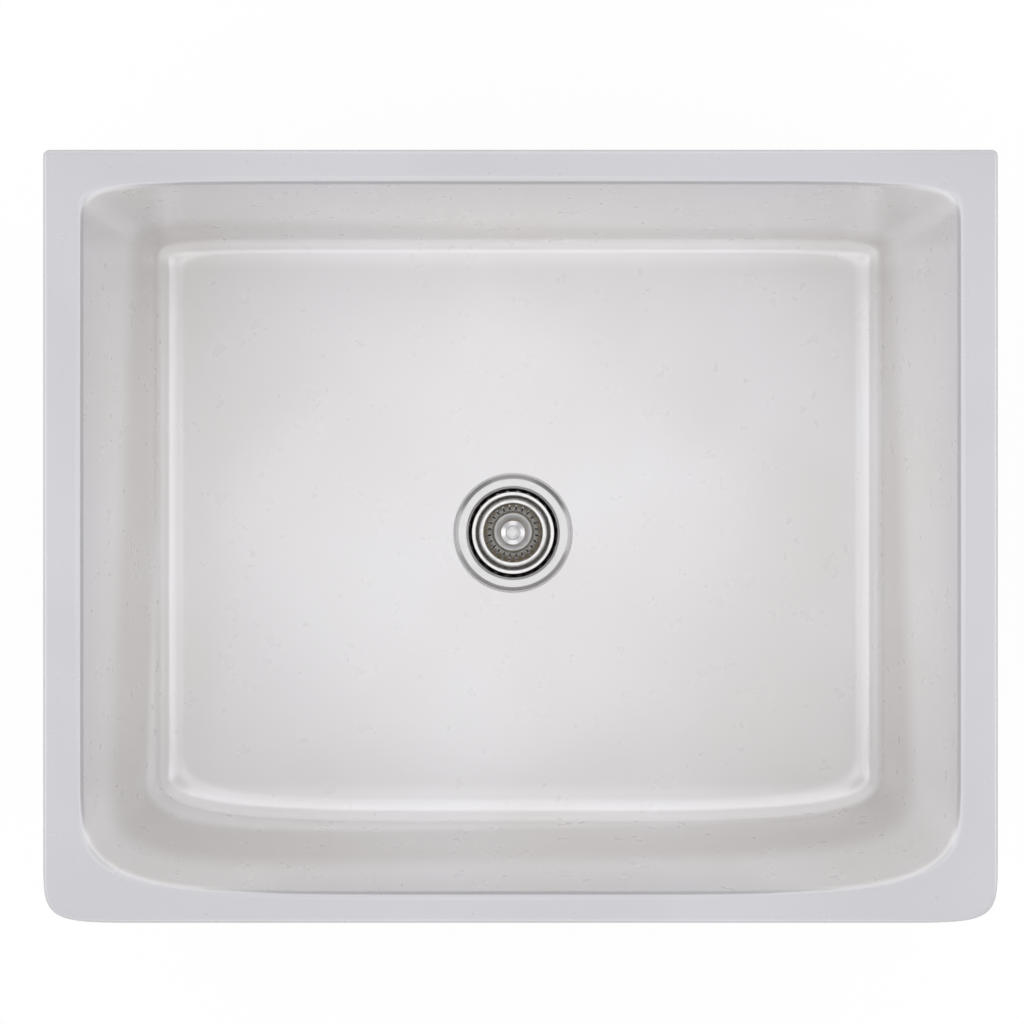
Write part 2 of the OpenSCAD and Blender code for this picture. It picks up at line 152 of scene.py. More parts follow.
glazeSet = {
    "bowl": (0.74, 0.73, 0.725, 1),       # painted light: the glaze in the bowl is made much lighter than on the rim and outside
    "outside": (0.49, 0.49, 0.508, 1),
    "filletLight": (0.91, 0.90, 0.895, 1),     # painted highlight: lighter glaze in the fillets round the floor, most at front and rear
    "film": (0.79, 0.765, 0.75, 1),       # painted shade: darkens the walls low down, as a multiplier
    "thin": (0.97, 0.955, 0.94, 1),       # a thin patch, as a multiplier
    "clay": (0.60, 0.54, 0.46, 1),
    "clayDark": (0.47, 0.41, 0.34, 1),
    "clayFleck": (0.30, 0.22, 0.15, 1),
    "edgeShade": (0.33, 0.32, 0.32, 1),    # painted shade: a dark line round the outer top edge
    "mouth": (0.349, -0.2835, 0.281),     # half width, front and rear of the mouth, m
    "roughness": 0.26, "coatRoughness": 0.17, "bareRoughness": 0.9, "edgeRoughness": 0.6,
    # heights and distances between which each zone fades in, m
    "footBare": (0.0044, 0.0030), "holeBare": (0.0462, 0.0452), "seatBare": (0.0222, 0.0212),
    "mouthSoft": 0.004, "bowlLow": (0.004, 0.012), "bowlTop": (0.2538, 0.2515),
    "roundingTop": (0.0505, 0.0485), "roundingLow": (0.0280, 0.0300),
    "bowlMiddle": 0.0045, "bowlEnds": (0.2450, 0.2600),
    "wallShadeTilt": (0.06, 0.12),             # the painted shade lies higher at the front and left
    "wallShadeTop": (0.165, 0.112), "wallShadeLow": (0.028, 0.050), "wallShadeFoot": (0.050, 0.060),
    "edgeLow": (0.2488, 0.2500), "edgeTop": (0.2530, 0.2521),
}


def axisDistance(graph, x, y):
    dx = x - outlet[0] / 1000
    dy = y - outlet[1] / 1000
    return graph.sum("SQRT", dx * dx + dy * dy)


def makeGlaze():
    s = glazeSet
    material, g = newMaterial("fireclayGlaze")
    place = g.place()
    x, y, z = g.parts(place)
    broad = g.noise(place, 6.0, 2.0)
    fine = g.noise(place, 900.0, 2.0)
    ragged = g.noise(place, 140.0, 4.0, 0.6)
    away = axisDistance(g, x, y)
    belowFoot = g.fade(z + (ragged - 0.5) * 0.003, *s["footBare"])
    inHole = g.fade(away + (ragged - 0.5) * 0.002, *s["holeBare"]) * g.fade(z, *s["seatBare"])
    bare = g.sum("MAXIMUM", belowFoot, inHole)
    half, front, rear = s["mouth"]
    soft = s["mouthSoft"]
    within = g.fade(g.sum("ABSOLUTE", x), half + soft, half - soft)
    within = within * g.fade(y, front - soft, front + soft) * g.fade(y, rear + soft, rear - soft)
    within = within * g.fade(z, *s["bowlLow"]) * g.fade(z, *s["bowlTop"])
    # painted light and shade: the bowl takes the lighter glaze colour, the rim and outside the darker
    glaze = g.mix(within, s["outside"], s["bowl"])
    # painted highlight along the fillets round the floor, strongest at front and rear
    rounding = g.fade(z, *s["roundingTop"]) * g.fade(z, *s["roundingLow"])
    ends = g.fade(g.sum("ABSOLUTE", y - s["bowlMiddle"]), *s["bowlEnds"]) * 0.85 + 0.12
    glaze = g.mix(within * rounding * ends, glaze, s["filletLight"])
    # painted shade: darkens the bowl's walls low down, higher at the front and left
    tide = z + y * s["wallShadeTilt"][1] + x * s["wallShadeTilt"][0]
    film = g.fade(tide, *s["wallShadeTop"]) * g.fade(tide, *s["wallShadeLow"]) * g.fade(z, *s["wallShadeFoot"]) * within
    glaze = g.mix(film, glaze, s["film"], "MULTIPLY")
    glaze = g.mix(g.fade(broad, 0.35, 0.68), glaze, s["thin"], "MULTIPLY")
    clay = g.mix(ragged, s["clayDark"], s["clay"])
    clay = g.mix(g.fade(fine, 0.56, 0.70) * 0.5, clay, s["clayFleck"])
    # painted shade: a dark line round the outer top edge, where the glaze is also rougher and without coat
    arris = g.fade(z, *s["edgeLow"]) * g.fade(z, *s["edgeTop"]) * (1 - within)
    glaze = g.mix(arris * 0.9, glaze, s["edgeShade"])
    colour = g.mix(bare, glaze, clay)
    waves = g.noise(place, 22.0, 2.0, 0.4) * 0.9 + g.noise(place, 160.0, 1.0) * 0.02
    grit = fine * 0.25 + ragged * 0.2
    height = waves * (1 - bare) + grit * bare
    normal = g.node("ShaderNodeBump", {}, {"Strength": 0.35, "Distance": 0.0012, "Height": height})
    rough = (s["roughness"] + g.noise(place, 48.0, 3.0) * 0.04) * (1 - bare) + bare * s["bareRoughness"]
    rough = g.sum("MAXIMUM", rough, arris * s["edgeRoughness"])
    finishMaterial(g, {"Base Color": colour, "Roughness": rough, "Normal": normal, "IOR": 1.7,
                       "Coat Weight": g.sum("MAXIMUM", 1 - bare - arris, 0.0),
                       "Coat Roughness": s["coatRoughness"], "Coat IOR": 1.75})
    return material


# Metals
steelSet = {
    "bright": (0.52, 0.518, 0.515, 1),
    "stain": (0.48, 0.47, 0.455, 1),
    "pale": (0.93, 0.925, 0.915, 1),      # painted light: the basket's slotted wall, made paler than the lip to lift the shade in the cup
    "lip": (0.62, 0.612, 0.60, 1),        # the basket's lip and bottom
    "knob": (0.68, 0.675, 0.67, 1),
    # painted shade for the cup's bevelled edge and the shelf under the basket
    "shadeGrey": (0.33, 0.32, 0.32, 1),
    "rubbed": (0.90, 0.89, 0.87, 1),      # painted highlight: pale edges along the slots
    "roughness": 0.12, "shelfRoughness": 0.10,
    # distances from the axis and heights between which each zone fades in, m
    "bevelFrom": (0.0517, 0.0529), "bevelBelow": (0.0247, 0.0241), "shelf": (-0.0262, -0.0190),
    "shelfSoft": 0.0006,
    "wallTop": (0.0135, 0.0115), "wallLow": (-0.0200, -0.0180), "bottom": (-0.0192, -0.0200),
}


def turnedLines(g, place, across, along):  # fine rings left by polishing on a lathe
    x, y, z = g.parts(place)
    away = axisDistance(g, x, y)
    where = g.node("ShaderNodeCombineXYZ", {}, {0: away * across, 1: z * across, 2: x * along})
    return g.noise(where, 1.0, 3.0, 0.6)


def makeSteel(name, colour, stain, roughness, lines=0.25, isCup=False):
    material, g = newMaterial(name)
    place = g.place()
    rings = turnedLines(g, place, 2400.0, 30.0)
    film = g.noise(place, 55.0, 4.0, 0.6)
    base = g.mix(g.fade(film, 0.45, 0.75) * 0.6, colour, stain)
    rough = roughness + rings * 0.10 + film * 0.06
    if isCup:                             # the cup has a polished shelf low down; painted shade darkens its bevelled edge, and the shelf by half
        x, y, z = g.parts(place)
        low, high = steelSet["shelf"]
        soft = steelSet["shelfSoft"]
        shelf = g.fade(z, low - soft, low) * g.fade(z, high + soft, high)
        rough = rough * (1 - shelf) + shelf * steelSet["shelfRoughness"]
        rings = rings * (1 - shelf)
        bevel = g.fade(axisDistance(g, x, y), *steelSet["bevelFrom"]) * g.fade(z, *steelSet["bevelBelow"])
        base = g.mix(g.sum("MAXIMUM", bevel * 0.95, shelf * 0.5), base, steelSet["shadeGrey"])
    normal = g.node("ShaderNodeBump", {}, {"Strength": lines, "Distance": 0.00006, "Height": rings})
    finishMaterial(g, {"Base Color": base, "Metallic": 1.0, "Roughness": rough, "Normal": normal})
    return material


def makeBasketSteel():                     # as the steel, with a painted highlight of pale edges round the slots and a slotted wall painted paler
    material, g = newMaterial("basketSteel")
    place = g.place()
    z = g.parts(place)[2]
    rings = turnedLines(g, place, 2400.0, 30.0)
    film = g.noise(place, 70.0, 4.0, 0.6)
    base = g.mix(g.fade(film, 0.40, 0.75) * 0.7, steelSet["lip"], steelSet["stain"])
    # painted light: the slotted wall is made paler
    wall = g.fade(z, *steelSet["wallTop"]) * g.fade(z, *steelSet["wallLow"])
    base = g.mix(wall, base, steelSet["pale"])
    rubbed = g.node("ShaderNodeAttribute", {"attribute_name": "rubbed"}, {}, out=2)
    base = g.mix(rubbed, base, steelSet["rubbed"])
    metal = 1 - rubbed * 0.3
    rough = 0.10 + g.fade(z, *steelSet["bottom"]) * 0.28 + rings * 0.06 + film * 0.05 + rubbed * 0.15
    normal = g.node("ShaderNodeBump", {}, {"Strength": 0.25, "Distance": 0.00006, "Height": rings})
    finishMaterial(g, {"Base Color": base, "Metallic": metal, "Roughness": rough, "Normal": normal})
    return material


def makeCast():
    material, g = newMaterial("castMetal")
    place = g.place()
    grain = g.noise(place, 700.0, 3.0, 0.6)
    cloud = g.noise(place, 60.0, 3.0)
    base = g.mix(g.fade(cloud, 0.35, 0.7), (0.44, 0.44, 0.45, 1), (0.33, 0.33, 0.34, 1))
    normal = g.node("ShaderNodeBump", {}, {"Strength": 0.5, "Distance": 0.00015, "Height": grain})
    rough = 0.42 + grain * 0.2
    finishMaterial(g, {"Base Color": base, "Metallic": 0.9, "Roughness": rough, "Normal": normal})
    return material


def makeBrass():
    material, g = newMaterial("turnedBrass")
    place = g.place()
    rings = turnedLines(g, place, 1800.0, 40.0)
    cloud = g.noise(place, 160.0, 3.0)
    base = g.mix(g.fade(cloud, 0.35, 0.75), (0.66, 0.53, 0.32, 1), (0.45, 0.35, 0.20, 1))
    normal = g.node("ShaderNodeBump", {}, {"Strength": 0.3, "Distance": 0.00006, "Height": rings})
    rough = 0.26 + rings * 0.15
    finishMaterial(g, {"Base Color": base, "Metallic": 1.0, "Roughness": rough, "Normal": normal})
    return material


# Rubber, fibre, plastic
def makeSoft(name, dark, light, roughness, grainScale, grainDepth):
    material, g = newMaterial(name)
    place = g.place()
    grain = g.noise(place, grainScale, 4.0, 0.65)
    bloom = g.noise(place, grainScale / 9, 3.0)
    base = g.mix(g.fade(bloom, 0.3, 0.75), dark, light)
    normal = g.node("ShaderNodeBump", {}, {"Strength": 0.5, "Distance": grainDepth, "Height": grain})
    finishMaterial(g, {"Base Color": base, "Roughness": roughness + (grain - 0.5) * 0.2, "Normal": normal})
    return material


glaze = makeGlaze()
steel = makeSteel("polishedSteel", steelSet["bright"], steelSet["stain"], steelSet["roughness"])
cupSteel = makeSteel("pressedSteel", steelSet["bright"], steelSet["stain"], steelSet["roughness"], isCup=True)
knobSteel = makeSteel("knobSteel", steelSet["knob"], steelSet["lip"], steelSet["roughness"])
dullSteel = makeSteel("drawnSteel", (0.55, 0.55, 0.55, 1), (0.42, 0.41, 0.40, 1), 0.26, 0.4)
basketSteel = makeBasketSteel()
castMetal = makeCast()
brass = makeBrass()
rubber = makeSoft("blackRubber", (0.018, 0.018, 0.019, 1), (0.045, 0.045, 0.046, 1), 0.62, 1500.0, 0.0001)
fibre = makeSoft("pressedFibre", (0.42, 0.30, 0.17, 1), (0.58, 0.44, 0.28, 1), 0.85, 2600.0, 0.0001)
whitePlastic = makeSoft("mouldedWhite", (0.72, 0.72, 0.70, 1), (0.80, 0.80, 0.78, 1), 0.38, 1200.0, 0.00004)
print("materials made")


# Mesh helpers
def addObject(name, mesh, material, body, nodes=()):
    made = bpy.data.objects.new(name, mesh)
    scene.collection.objects.link(made)
    mesh.materials.append(material)
    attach(made, body)
    if nodes:
        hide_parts(*nodes)
    return made


def meshFrom(name, points, faces, sharpAngle=38.0):   # points in mm
    shape = bmesh.new()
    made = [shape.verts.new(Vector(p) / 1000) for p in points]
    for face in faces:
        corners = []
        for i in face:
            if made[i] not in corners:
                corners.append(made[i])
        if len(corners) > 2:
            shape.faces.new(corners)
    bmesh.ops.recalc_face_normals(shape, faces=shape.faces)
    limit = math.radians(sharpAngle)
    for face in shape.faces:
        face.smooth = True
    for edge in shape.edges:
        if len(edge.link_faces) == 2 and edge.calc_face_angle(0.0) > limit:
            edge.smooth = False
    mesh = bpy.data.meshes.new(name)
    shape.to_mesh(mesh)
    shape.free()
    return mesh


def eased(profile, radius, closed=True, steps=5):      # rounds each corner of a profile
    done = []
    count = len(profile)
    for i, here in enumerate(profile):
        r, z = here[0], here[1]
        want = here[2] if len(here) > 2 else radius
        if want == 0 or (not closed and i in (0, count - 1)):
            done.append((r, z))
            continue
        before = Vector(profile[i - 1][:2])
        after = Vector(profile[(i + 1) % count][:2])
        corner = Vector((r, z))
        toBefore, toAfter = before - corner, after - corner
        turn = toBefore.angle(toAfter, math.pi)
        if turn > math.radians(176):
            done.append((r, z))
            continue
        cut = min(want / math.tan(turn / 2), toBefore.length * 0.46, toAfter.length * 0.46)
        start = corner + toBefore.normalized() * cut
        end = corner + toAfter.normalized() * cut
        shares = [k / steps for k in range(steps + 1)]
        curve = [start * (1 - t) ** 2 + corner * 2 * t * (1 - t) + end * t ** 2 for t in shares]
        if toBefore.length > cut * 3:     # keeps the long stretches on both sides flat
            curve.insert(0, corner + toBefore.normalized() * cut * 1.3)
        if toAfter.length > cut * 3:
            curve.append(corner + toAfter.normalized() * cut * 1.3)
        done += [(point.x, point.y) for point in curve]
    return done


def addShape(name, shape, material, body, nodes=(), sharpAngle=38.0):
    mesh = meshFrom(name, *shape, sharpAngle)
    return addObject(name, mesh, material, body, nodes)


def spun(profile, steps=192, sides=0, flat=0.0, flatRange=None, turn=0.0):
    # turns a profile of radius and height round the drain's axis; sides and flat cut spanner flats on it
    points, rows = [], []
    for r, z in profile:
        if r < 1e-6:
            rows.append([len(points)] * steps)
            points.append((outlet[0], outlet[1], z))
            continue
        row = []
        for k in range(steps):
            angle = 2 * math.pi * k / steps + turn
            reach = r
            if sides and flatRange[0] <= z <= flatRange[1] and r > flatRange[2]:
                part = 2 * math.pi / sides
                local = (angle + part / 2) % part - part / 2
                reach = min(r, flat / math.cos(local))
            row.append(len(points))
            points.append((outlet[0] + reach * math.cos(angle), outlet[1] + reach * math.sin(angle), z))
        rows.append(row)
    faces = []
    onAxis = profile[0][0] < 1e-6 and profile[-1][0] < 1e-6
    for j in range(len(rows) - (1 if onAxis else 0)):
        a, b = rows[j], rows[(j + 1) % len(rows)]
        for k in range(steps):
            m = (k + 1) % steps
            faces.append((a[k], a[m], b[m], b[k]))
    return points, faces


def lathe(name, profile, material, body, slotName, nodes=(), radius=0.3, **more):
    onAxis = profile[0][0] < 1e-6
    shape = spun(eased(profile, radius, closed=not onAxis), **more)
    return addShape(name, shape, material, body, nodes)


def joined(parts):                        # several point and face lists as one
    points, faces = [], []
    for morePoints, moreFaces in parts:
        start = len(points)
        points += morePoints
        faces += [tuple(i + start for i in face) for face in moreFaces]
    return points, faces


def thread(core, crest, low, high, pitch, perTurn=96):   # a raised helical thread
    points, faces = [], []
    stations = int((high - low) / pitch * perTurn)
    for k in range(stations + 1):
        angle = 2 * math.pi * k / perTurn
        z = low + pitch * k / perTurn
        fade = min(1.0, k / (perTurn * 0.4), (stations - k) / (perTurn * 0.4))
        top = core + (crest - core) * max(fade, 0.02)
        for r, dz in ((core - 0.15, -0.46), (top, -0.08), (top, 0.08), (core - 0.15, 0.46)):
            points.append((outlet[0] + r * math.cos(angle), outlet[1] + r * math.sin(angle), z + dz * pitch))
        if k:
            a, b = 4 * (k - 1), 4 * k
            faces += [(a + i, b + i, b + (i + 1) % 4, a + (i + 1) % 4) for i in range(4)]
    faces += [(0, 1, 2, 3), tuple(4 * stations + i for i in (3, 2, 1, 0))]
    return points, faces


def block(low, high, edge, turn):         # a box with eased edges, turned about the drain's axis
    shape = bmesh.new()
    bmesh.ops.create_cube(shape, size=1.0)
    size = [b - a for a, b in zip(low, high)]
    for v in shape.verts:
        v.co = Vector([a + (c + 0.5) * s for a, c, s in zip(low, v.co, size)])
    bmesh.ops.bevel(shape, geom=list(shape.edges), offset=edge, segments=3, profile=0.5, affect="EDGES")
    spin = Matrix.Rotation(turn, 4, "Z")
    shape.verts.ensure_lookup_table()
    points = []
    for v in shape.verts:
        p = spin @ v.co
        points.append((p.x + outlet[0], p.y + outlet[1], p.z))
    faces = [tuple(v.index for v in face.verts) for face in shape.faces]
    shape.free()
    return points, faces


# Basin
basin = {
    "width": 762.0, "depth": 617.0, "height": 254.0, "edge": 4.0,
    "frontCorner": (120.0, 78.0, 7.4), "rearCorner": 5.0,
    "sideRim": 32.0, "frontRim": 25.0, "rearRim": 27.5, "mouthRound": 6.0,
    "sideLean": 7.0, "frontLean": 7.0, "rearLean": 5.5,
    "floor": 24.0, "fall": 5.0, "filletHeight": 20.0,
    "filletSide": 20.0, "filletFront": 18.0, "filletRear": 10.0,
    "mouthFront": (113.0, 5.25), "mouthRear": (58.0, 8.2),
    "floorFront": (60.0, 4.1), "floorRear": (58.0, 13.0),
    "foot": 45.0, "footPower": 4.0, "footRear": (30.0, 30.0, 2.0), "footEdge": 0.8,
    "hollow": 3.0, "undersideRings": (62.0, 120.0),
    "hole": 45.0, "seat": 57.4, "seatDepth": 2.2, "seatFlat": 4.6, "reach": 0.97,
}


def cornerCurve(a, b, p):                 # points of one corner, from the side to the end
    start, sideCount, turnCount, endCount = 1.5, 6, 28, 12

    def unit(k):
        u = (1 + k ** p) ** (-1 / p)
        return u, k * u

    def ratio(f):
        return (math.tan(math.radians(f)) * b / a) ** (1 / (p - 1))

    first, last = unit(ratio(start)), unit(ratio(90 - start))
    curve = []
    for j in range(sideCount):
        v = first[1] * j / sideCount
        curve.append(((1 - v ** p) ** (1 / p), v))
    for i in range(turnCount + 1):
        curve.append(unit(ratio(start + (90 - 2 * start) * i / turnCount)))
    for j in range(1, endCount + 1):
        u = last[0] * (1 - j / endCount)
        curve.append((u, (1 - u ** p) ** (1 / p)))
    return [(a * (1 - u), b * (1 - v)) for u, v in curve]


def outline(half, front, rear, frontCorner, rearCorner):   # anticlockwise from the left side
    f, r = cornerCurve(*frontCorner), cornerCurve(*rearCorner)
    midCount = 16
    points = [(q[0] - half, front + q[1]) for q in f]
    points += [(half - q[0], front + q[1]) for q in reversed(f)]
    low, high = front + frontCorner[1], rear - rearCorner[1]
    middle = [low + (high - low) * i / (midCount + 1) for i in range(1, midCount + 1)]
    points += [(half, y) for y in middle]
    points += [(half - q[0], rear - q[1]) for q in r]
    points += [(q[0] - half, rear - q[1]) for q in reversed(r)]
    points += [(-half, y) for y in reversed(middle)]
    return np.array(points)


def grownLine(line, e):
    half, front, rear, f, r = line
    return (half + e, front - e, rear + e, (max(f[0] + e, 0.5), max(f[1] + e, 0.5), f[2]),
            (max(r[0] + e, 0.5), max(r[1] + e, 0.5), r[2]))


def makeBasin():
    s = basin
    halfWidth, halfDepth = s["width"] / 2, s["depth"] / 2
    outer = (halfWidth, -halfDepth, halfDepth, s["frontCorner"], (s["rearCorner"], s["rearCorner"], 2.0))
    foot = (halfWidth - s["foot"], -halfDepth + s["foot"], halfDepth - s["foot"],
            (s["frontCorner"][0], s["frontCorner"][1], s["footPower"]), s["footRear"])
    mouthHalf = halfWidth - s["sideRim"]
    mouth = (mouthHalf, -halfDepth + s["frontRim"], halfDepth - s["rearRim"],
             (mouthHalf * s["reach"], *s["mouthFront"]), (mouthHalf * s["reach"], *s["mouthRear"]))
    wallHalf = mouthHalf - s["sideLean"]
    wall = (wallHalf, mouth[1] + s["frontLean"], mouth[2] - s["rearLean"],
            (wallHalf * s["reach"], *s["floorFront"]), (wallHalf * s["reach"], *s["floorRear"]))
    floorHalf = wallHalf - s["filletSide"]
    floor = (floorHalf, wall[1] + s["filletFront"], wall[2] - s["filletRear"],
             (floorHalf * s["reach"], *s["floorFront"]),
             (floorHalf * s["reach"], s["floorRear"][0], s["floorRear"][1] * 0.8))
    wallPoints, floorPoints, mouthPoints = outline(*wall), outline(*floor), outline(*mouth)
    centre = np.array(outlet)
    away = floorPoints - centre
    heading = away / np.linalg.norm(away, axis=1)[:, None]

    def circle(r, z):
        return centre + heading * r, z

    top, edge, seatZ = s["height"], s["edge"], s["floor"] - s["seatDepth"]
    edgeZ = s["floor"] + s["fall"]
    lowWall = edgeZ + s["filletHeight"]
    small = s["footEdge"]
    rings = [circle(s["hole"], s["hollow"] + small), circle(s["hole"] + 0.25, s["hollow"] + 0.25),
             circle(s["hole"] + small, s["hollow"])]
    rings += [circle(r, s["hollow"]) for r in s["undersideRings"]]
    rings += [(outline(*grownLine(foot, -s["hollow"] - small)), s["hollow"]),
              (outline(*grownLine(foot, -s["hollow"])), s["hollow"] - 0.25),
              (outline(*foot), 0.25), (outline(*grownLine(foot, small)), 0.0),
              (outline(*grownLine(outer, -edge - small)), 0.0)]
    for t in np.linspace(0, 90, 7):
        t = math.radians(t)
        rings.append((outline(*grownLine(outer, edge * (math.sin(t) - 1))), edge * (1 - math.cos(t))))
    rings += [(outline(*outer), edge + 1.0), (outline(*outer), top / 2), (outline(*outer), top - edge - 1.0)]
    for t in np.linspace(0, 90, 9):
        t = math.radians(t)
        rings.append((outline(*grownLine(outer, edge * (math.cos(t) - 1))), top - edge * (1 - math.sin(t))))
    rings += [(outline(*grownLine(outer, -edge - 1.0)), top),
              (outline(*grownLine(mouth, s["mouthRound"] + 1.0)), top)]
    for t in np.linspace(0, 90, 13):
        t = math.radians(t)
        rings.append((outline(*grownLine(mouth, s["mouthRound"] * (1 - math.sin(t)))),
                      top - s["mouthRound"] * (1 - math.cos(t))))
    for share in (0.004, 0.25, 0.5, 0.75, 0.996):
        rings.append((mouthPoints + (wallPoints - mouthPoints) * share,
                      (top - s["mouthRound"]) * (1 - share) + lowWall * share))
    for t in np.linspace(0, 90, 19):
        t = math.radians(t)
        rings.append((wallPoints + (floorPoints - wallPoints) * (1 - math.cos(t)),
                      lowWall - s["filletHeight"] * math.sin(t)))
    edgeRing = circle(s["seat"] + s["seatFlat"], 0)[0]
    for share in np.linspace(0, 1, 19)[1:]:
        fallen = share * share * (3 - 2 * share)
        rings.append((floorPoints + (edgeRing - floorPoints) * share, edgeZ - s["fall"] * fallen))
    rings += [circle(s["seat"] + 1.6, s["floor"]), circle(s["seat"] + 0.9, s["floor"] - 0.02),
              circle(s["seat"] + 0.3, s["floor"] - 0.26), circle(s["seat"], s["floor"] - 0.9),
              circle(s["seat"], seatZ + 0.5), circle(s["seat"] - 0.15, seatZ + 0.12),
              circle(s["seat"] - 0.6, seatZ), circle(s["hole"] + 0.9, seatZ),
              circle(s["hole"] + 0.3, seatZ - 0.25), circle(s["hole"], seatZ - 0.9)]
    count = len(rings[0][0])
    points = [(x, y, z) for ring, z in rings for x, y in ring]
    faces = []
    for j in range(len(rings)):
        a, b = j * count, ((j + 1) % len(rings)) * count
        for i in range(count):
            k = (i + 1) % count
            faces.append((a + i, a + k, b + k, b + i))
    addShape("basinGlazed", (points, faces), glaze, "sink", ["basin"], 60.0)


makeBasin()
print("basin made")

# Strainer body
strainer = {
    "flange": 56.0, "bevel": 3.8, "edgeTop": 23.0, "throat": 42.8, "sheet": 1.0, "top": 24.6, "land": -25.0,
    "landR": 27.0, "neck": 20.5, "neckOut": 23.7, "neckEnd": -50.0, "step": -40.0, "threadDepth": 0.55,
}


def makeStrainer():
    s = strainer
    t, top, land = s["throat"], s["top"], s["land"]
    low = top - s["sheet"]
    core = s["neckOut"] - s["threadDepth"]
    profile = [
        (s["flange"], s["edgeTop"], 0.3), (s["flange"] - s["bevel"], top, 0.5), (t + 2.8, top, 1.0),
        (t + 0.6, top - 1.9, 0.8), (t, top - 3.4, 1.0),
        (t, land + 7.5, 2.0), (t - 1.6, land + 5.5, 1.2),
        (s["landR"], land, 1.0), (s["neck"] + 1.0, land, 0.6),
        (s["neck"], land - 1.0, 0.4), (s["neck"], s["step"], 0.1), (s["neck"] - 1.3, s["step"], 0.2),
        (s["neck"] - 1.3, s["neckEnd"], 0.2), (s["neckOut"] - 0.3, s["neckEnd"], 0.3),
        (core, s["neckEnd"] + 1.0, 0.3),
        (core, land - 5.0, 0.6), (s["neckOut"], land - 4.0, 0.6), (s["neckOut"], land - 3.0, 0.8),
        (s["landR"], land - 1.0, 1.0), (t - 1.2, land + 4.5, 1.5), (t + 1.0, land + 7.1, 2.0),
        (t + 1.0, low - 3.2, 1.0), (t + 1.6, low - 1.9, 0.6), (t + 3.3, low, 0.6),
        (s["flange"] - s["bevel"], low, 0.5), (s["flange"] - 1.0, s["edgeTop"] - 0.7, 0.2),
        (s["flange"], s["edgeTop"] - 0.7, 0.3),
    ]
    lathe("strainerShell", profile, cupSteel, "sink", "steel", ["strainer_body"], steps=256)
    both = joined([thread(t + 0.98, t + 1.38, -15.0, 19.0, 2.1, 144),
                   thread(core, s["neckOut"] - 0.02, s["neckEnd"] + 1.2, land - 5.6, 2.2)])
    addShape("strainerThreads", both, dullSteel, "sink", (), 50.0)

    hub = eased([(5.6, -46.0), (8.2, -46.0), (8.2, -34.0), (5.6, -34.0)], 0.6)
    inner = s["neck"] - 2.3
    ring = eased([(inner, -40.0), (inner + 2.0, -40.0), (inner + 2.0, -36.0), (inner, -36.0)], 0.5)
    arms = [block((7.4, -1.6, -40.0), (inner + 0.8, 1.6, -36.0), 0.6, math.radians(90 + 120 * i))
            for i in range(3)]
    shape = joined([spun(hub, 96), spun(ring, 160), *arms])
    addShape("strainerSpider", shape, dullSteel, "sink", ["strainer_spider"])


makeStrainer()
print("strainer made")

# Clamping rings and nuts under the sink
clamp = {"threadR": 44.2, "reach": 57.0, "wing": 60.9, "gasketLow": -0.5, "slipLow": -1.5, "nutLow": -13.5}


def makeClamp():
    s = clamp
    inner, reach = s["threadR"] + 0.5, s["reach"]
    gasket = [(inner, s["gasketLow"]), (reach, s["gasketLow"]), (reach, 3.0), (inner, 3.0)]
    lathe("gasketRing", gasket, rubber, "sink", "rubber", ["underside_gasket"], radius=0.8, steps=160)
    core = s["threadR"] + 6.0
    top = s["slipLow"]
    nut = [(s["threadR"] + 0.1, s["nutLow"], 0.5), (core, s["nutLow"], 1.0), (core + 0.3, top - 3.6, 1.2),
           (reach, top - 2.2, 0.5), (reach, top, 0.4), (s["threadR"] + 0.1, top, 0.3)]
    parts = [spun(eased(nut, 0.4), 192)]
    for i in range(4):
        turn = math.radians(45 + 90 * i)
        parts.append(block((core - 1, -5, s["nutLow"] + 1.5), (s["wing"], 5, s["nutLow"] + 11.0), 1.1, turn))
        parts.append(block((core - 1, -6.2, top - 3.4), (reach + 0.3, 6.2, top - 0.9), 0.8, turn))
    for i in range(12):                   # small ribs between the wings
        if i % 3:
            turn = math.radians(45 + 30 * i)
            low, high = (core - 0.6, -0.9, s["nutLow"] + 2.0), (core + 2.6, 0.9, top - 2.0)
            parts.append(block(low, high, 0.4, turn))
    addShape("locknutCast", joined(parts), castMetal, "sink", ["locknut"])


def makeCoupling():
    flat = strainer["neckOut"] + 3.6
    bore, waist = strainer["neckOut"] + 0.1, flat - 0.7
    corner = flat / math.cos(math.pi / 8) - 0.5
    profile = [(19.75, -58.0, 0.4), (24.0, -58.0, 0.8), (25.6, -56.2, 0.4), (waist, -55.9, 0.3),
               (corner, -54.2, 0.5), (corner, -42.2, 0.5), (waist, -40.0, 0.4), (bore, -40.0, 0.5),
               (bore, -54.0, 0.1), (19.75, -54.0, 0.2)]
    dense = []
    smooth = eased(profile, 0.4)
    for i, (r, z) in enumerate(smooth):   # extra points so the spanner flats meet the bevels cleanly
        dense.append((r, z))
        nextR, nextZ = smooth[(i + 1) % len(smooth)]
        gap = math.hypot(nextR - r, nextZ - z)
        if min(r, nextR) > waist - 0.6:
            extra = int(gap / 0.35)
            dense += [(r + (nextR - r) * k / (extra + 1), z + (nextZ - z) * k / (extra + 1))
                      for k in range(1, extra + 1)]
    shape = spun(dense, 256, sides=8, flat=flat, flatRange=(-56.5, -39.9, waist - 0.6), turn=math.pi / 8)
    addShape("couplingNut", shape, steel, "sink", ["coupling_nut"], 30.0)

    rim = strainer["neckOut"] - 1.1
    tail = [(18.05, -152.0, 0.2), (19.05, -152.0, 0.3), (19.05, -61.2, 0.6), (19.35, -60.0, 0.5),
            (19.35, -54.0, 0.3), (rim, -54.0, 0.5), (rim, -52.0, 0.5), (18.05, -52.0, 0.5)]
    lathe("tailpieceTube", tail, steel, "sink", "steel", ["tailpiece"], steps=160)


makeClamp()
makeCoupling()
print("nuts and tailpiece made")

